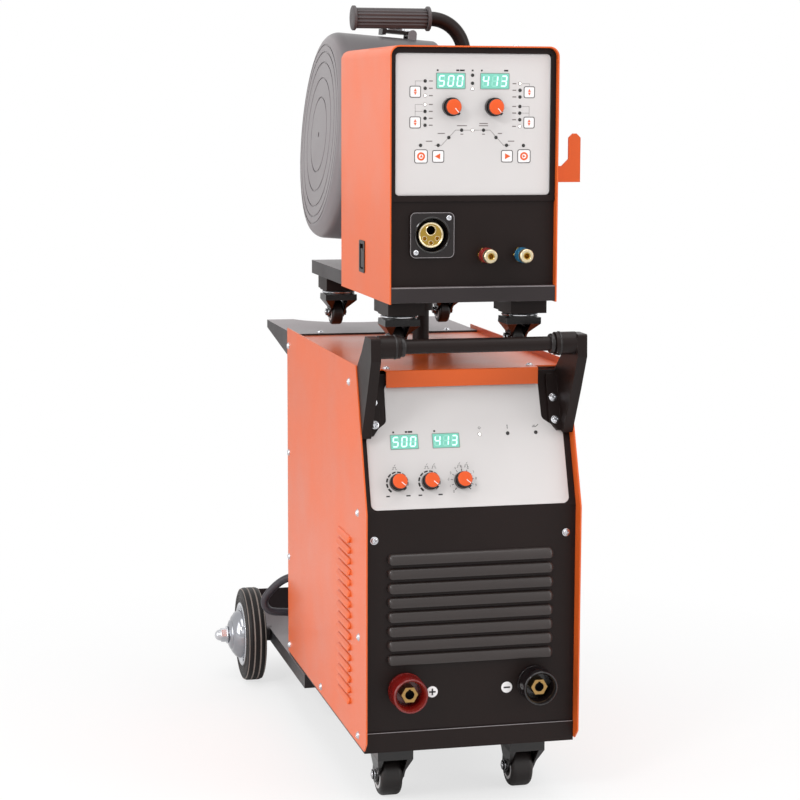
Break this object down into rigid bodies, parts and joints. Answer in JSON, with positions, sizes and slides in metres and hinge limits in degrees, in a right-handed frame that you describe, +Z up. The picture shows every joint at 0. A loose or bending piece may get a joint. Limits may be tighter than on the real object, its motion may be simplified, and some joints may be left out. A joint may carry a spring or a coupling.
{
  "type": "mig welder on cart",
  "caption": "Upright MIG welding power source on a bottle cart, with a separate wire feeder that swivels on a post on top.",
  "frame": {"origin": "on the floor, on the centreline, under the middle of the whole depth", "axes": "+Z up, -Y to the control side, +X to the right of a person facing the controls"},
  "size_m": [0.5, 0.925, 1.1395],
  "materials": {
    "orange_paint": "satin powder coat",
    "black_paint": "satin powder coat",
    "dark_paint": "satin powder coat",
    "fascia_paint": "satin printed film",
    "black_plastic": "moulded matte",
    "red_plastic": "moulded gloss",
    "brass": "turned",
    "zinc": "zinc plated",
    "tyre_rubber": "moulded rubber",
    "soft_rubber": "moulded rubber",
    "grey_plastic": "moulded satin",
    "spool_plastic": "moulded matte",
    "fork_paint": "gloss black",
    "caster_rubber": "moulded rubber"
  },
  "bodies": {
    "base": {"base_tray": "black_paint", "left_side_panel": "orange_paint", "right_side_panel": "orange_paint", "front_panel": "black_paint", "control_fascia": "fascia_paint", "top_cover": "orange_paint", "rear_panel": "dark_paint", "power_module": "zinc", "plus_socket": "red_plastic", "minus_socket": "black_plastic", "socket_contacts": "brass", "handle_brackets": "black_plastic", "handle_bar": "dark_paint", "fasteners": "zinc", "bottle_bracket": "dark_paint", "cart_tray": "dark_paint", "rear_axle": "zinc", "front_caster_plates": "black_paint", "swivel_post": "dark_paint", "mains_cable": "soft_rubber"},
    "feeder": {"feeder_platform": "dark_paint", "feeder_caster_mounts": "dark_paint", "feeder_casing": "orange_paint", "feeder_front": "black_paint", "feeder_rear": "dark_paint", "feeder_fascia": "fascia_paint", "torch_socket_flange": "black_plastic", "torch_socket_insert": "brass", "coolant_couplings": "brass", "drive_unit": "zinc", "cable_hook": "orange_paint", "lift_handle": "dark_paint", "handle_grip": "soft_rubber", "spool_drum": "grey_plastic", "spool_stand": "dark_paint"},
    "fan": {"fan_rotor": "black_plastic"},
    "left_rear_wheel": {"left_tyre": "tyre_rubber", "left_rim": "zinc"},
    "right_rear_wheel": {"right_tyre": "tyre_rubber", "right_rim": "zinc"},
    "wire_spool": {"wire_spool": "spool_plastic"},
    "spool_lid": {"spool_lid": "grey_plastic"},
    "cover_latch": {"cover_latch": "black_plastic"},
    "left_knob": {"left_knob": "black_plastic"},
    "centre_knob": {"centre_knob": "black_plastic"},
    "right_knob": {"right_knob": "black_plastic"},
    "current_knob": {"current_knob": "black_plastic"},
    "voltage_knob": {"voltage_knob": "black_plastic"},
    "front_left_fork": {"front_left_fork": "fork_paint"},
    "front_left_wheel": {"front_left_wheel": "caster_rubber"},
    "front_right_fork": {"front_right_fork": "fork_paint"},
    "front_right_wheel": {"front_right_wheel": "caster_rubber"},
    "feeder_front_left_fork": {"feeder_front_left_fork": "fork_paint"},
    "feeder_front_left_wheel": {"feeder_front_left_wheel": "caster_rubber"},
    "feeder_front_right_fork": {"feeder_front_right_fork": "fork_paint"},
    "feeder_front_right_wheel": {"feeder_front_right_wheel": "caster_rubber"},
    "feeder_rear_left_fork": {"feeder_rear_left_fork": "fork_paint"},
    "feeder_rear_left_wheel": {"feeder_rear_left_wheel": "caster_rubber"},
    "feeder_rear_right_fork": {"feeder_rear_right_fork": "fork_paint"},
    "feeder_rear_right_wheel": {"feeder_rear_right_wheel": "caster_rubber"}
  },
  "joints": [
    {"name": "feeder_swivel", "type": "hinge", "parent": "base", "child": "feeder", "pos_m": [0, -0.125, 0.68], "axis": [0, 0, 1], "range_deg": [-170, 170]},
    {"name": "left_wheel_spin", "type": "hinge", "parent": "base", "child": "left_rear_wheel", "pos_m": [-0.187, 0.338, 0.08], "axis": [1, 0, 0], "continuous": true},
    {"name": "right_wheel_spin", "type": "hinge", "parent": "base", "child": "right_rear_wheel", "pos_m": [0.187, 0.338, 0.08], "axis": [1, 0, 0], "continuous": true},
    {"name": "fan_spin", "type": "hinge", "parent": "base", "child": "fan", "pos_m": [0, 0.108, 0.33], "axis": [0, -1, 0], "continuous": true},
    {"name": "left_knob_turn", "type": "hinge", "parent": "base", "child": "left_knob", "pos_m": [-0.103, -0.41733, 0.47458], "axis": [0, -0.9433, 0.3318], "range_deg": [-40, 260]},
    {"name": "centre_knob_turn", "type": "hinge", "parent": "base", "child": "centre_knob", "pos_m": [-0.057, -0.41733, 0.47458], "axis": [0, -0.9433, 0.3318], "range_deg": [-40, 260]},
    {"name": "right_knob_turn", "type": "hinge", "parent": "base", "child": "right_knob", "pos_m": [-0.01, -0.41733, 0.47458], "axis": [0, -0.9433, 0.3318], "range_deg": [-40, 260]},
    {"name": "current_knob_turn", "type": "hinge", "parent": "feeder", "child": "current_knob", "pos_m": [-0.0315, -0.424, 0.989], "axis": [0, -1, 0], "range_deg": [-15, 285]},
    {"name": "voltage_knob_turn", "type": "hinge", "parent": "feeder", "child": "voltage_knob", "pos_m": [0.0285, -0.424, 0.989], "axis": [0, -1, 0], "range_deg": [-15, 285]},
    {"name": "front_left_swivel", "type": "hinge", "parent": "base", "child": "front_left_fork", "pos_m": [-0.098, -0.358, 0.08], "axis": [0, 0, 1], "continuous": true},
    {"name": "front_left_roll", "type": "hinge", "parent": "front_left_fork", "child": "front_left_wheel", "pos_m": [-0.098, -0.332, 0.031], "axis": [1, 0, 0], "continuous": true},
    {"name": "front_right_swivel", "type": "hinge", "parent": "base", "child": "front_right_fork", "pos_m": [0.098, -0.358, 0.08], "axis": [0, 0, 1], "continuous": true},
    {"name": "front_right_roll", "type": "hinge", "parent": "front_right_fork", "child": "front_right_wheel", "pos_m": [0.098, -0.332, 0.031], "axis": [1, 0, 0], "continuous": true},
    {"name": "feeder_front_left_swivel", "type": "hinge", "parent": "feeder", "child": "feeder_front_left_fork", "pos_m": [-0.088, -0.352, 0.695], "axis": [0, 0, 1], "continuous": true},
    {"name": "feeder_front_left_roll", "type": "hinge", "parent": "feeder_front_left_fork", "child": "feeder_front_left_wheel", "pos_m": [-0.088, -0.329, 0.664], "axis": [1, 0, 0], "continuous": true},
    {"name": "feeder_front_right_swivel", "type": "hinge", "parent": "feeder", "child": "feeder_front_right_fork", "pos_m": [0.088, -0.352, 0.695], "axis": [0, 0, 1], "continuous": true},
    {"name": "feeder_front_right_roll", "type": "hinge", "parent": "feeder_front_right_fork", "child": "feeder_front_right_wheel", "pos_m": [0.088, -0.329, 0.664], "axis": [1, 0, 0], "continuous": true},
    {"name": "feeder_rear_left_swivel", "type": "hinge", "parent": "feeder", "child": "feeder_rear_left_fork", "pos_m": [-0.088, 0.061, 0.695], "axis": [0, 0, 1], "continuous": true},
    {"name": "feeder_rear_left_roll", "type": "hinge", "parent": "feeder_rear_left_fork", "child": "feeder_rear_left_wheel", "pos_m": [-0.088, 0.084, 0.664], "axis": [1, 0, 0], "continuous": true},
    {"name": "feeder_rear_right_swivel", "type": "hinge", "parent": "feeder", "child": "feeder_rear_right_fork", "pos_m": [0.088, 0.061, 0.695], "axis": [0, 0, 1], "continuous": true},
    {"name": "feeder_rear_right_roll", "type": "hinge", "parent": "feeder_rear_right_fork", "child": "feeder_rear_right_wheel", "pos_m": [0.088, 0.084, 0.664], "axis": [1, 0, 0], "continuous": true},
    {"name": "spool_spin", "type": "hinge", "parent": "feeder", "child": "wire_spool", "pos_m": [-0.04126, 0.055, 0.93908], "axis": [-0.9968, 0, 0.0802], "continuous": true},
    {"name": "spool_lid_pull", "type": "slide", "parent": "feeder", "child": "spool_lid", "axis": [-0.9968, 0, 0.0802], "range_m": [0, 0.14]},
    {"name": "cover_latch_lift", "type": "hinge", "parent": "feeder", "child": "cover_latch", "pos_m": [0.02596, 0.055, 1.10122], "axis": [0, 1, 0], "range_deg": [0, 115]}
  ]
}
